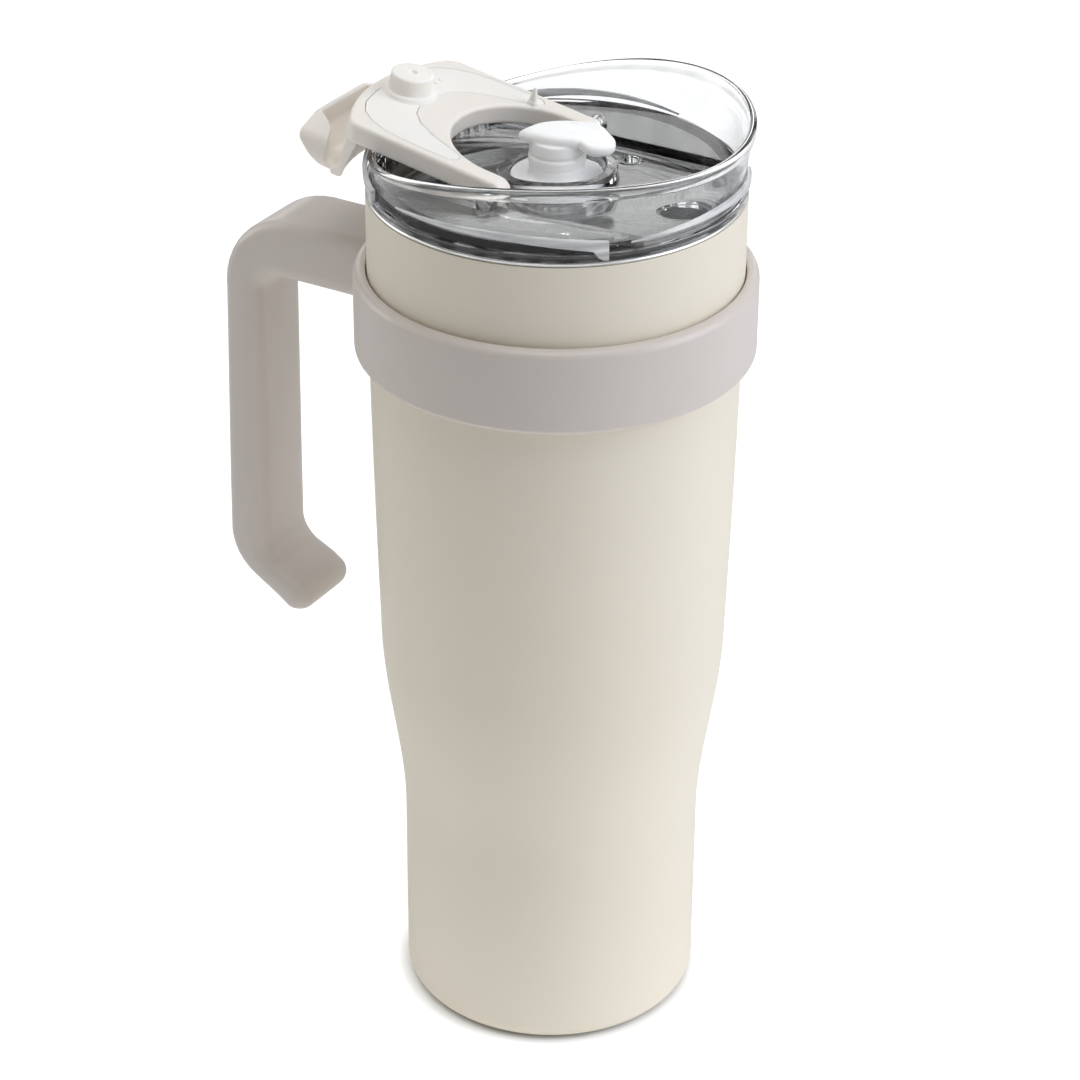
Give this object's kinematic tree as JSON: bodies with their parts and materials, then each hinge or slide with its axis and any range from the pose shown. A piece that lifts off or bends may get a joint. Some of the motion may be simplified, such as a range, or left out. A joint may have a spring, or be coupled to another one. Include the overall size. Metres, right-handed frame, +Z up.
{
  "type": "insulated tumbler",
  "caption": "Tall double-walled steel tumbler with a side handle on a collar, a clear lid with a flip-over spout flap, and a soft straw-hole plug.",
  "frame": {"origin": "centre of the flat base the tumbler stands on, on the cup's axis", "axes": "+Z up along the cup's axis, +X towards the drinking spout, -X towards the handle, flap stored lying open over the handle"},
  "size_m": [0.1534, 0.1054, 0.2662],
  "materials": {
    "powder_coat": "satin powder coat, warm cream",
    "steel": "brushed stainless steel",
    "foil": "thin copper-coloured foil",
    "seal_glass": "fused solder glass",
    "handle_plastic": "satin moulded plastic, warm grey beige",
    "clear_plastic": "clear polished moulded plastic",
    "black_rubber": "matte black silicone",
    "flap_plastic": "satin moulded plastic, light beige",
    "seal_rubber": "soft satin silicone, light cream",
    "white_rubber": "soft white silicone"
  },
  "bodies": {
    "cup": {"outer_shell": "powder_coat", "inner_liner": "steel", "foil_wrap": "foil", "vacuum_base": "steel", "vacuum_seal": "seal_glass", "getter": "steel", "base_plate": "steel", "handle": "handle_plastic"},
    "lid": {"lid_body": "clear_plastic", "lid_gasket": "black_rubber", "hinge_pin_left": "steel", "hinge_pin_right": "steel"},
    "flap": {"flap": "flap_plastic", "spout_seal": "seal_rubber"},
    "plug": {"straw_plug": "white_rubber"}
  },
  "joints": [
    {"name": "lid_lift", "type": "slide", "parent": "cup", "child": "lid", "axis": [0, 0, 1], "range_m": [0, 0.04]},
    {"name": "flap_hinge", "type": "hinge", "parent": "lid", "child": "flap", "pos_m": [-0.0045, 0, 0.2491], "axis": [0, 1, 0], "range_deg": [0, 170]},
    {"name": "straw_plug_pull", "type": "slide", "parent": "lid", "child": "plug", "axis": [0, 0, 1], "range_m": [0, 0.025]}
  ]
}
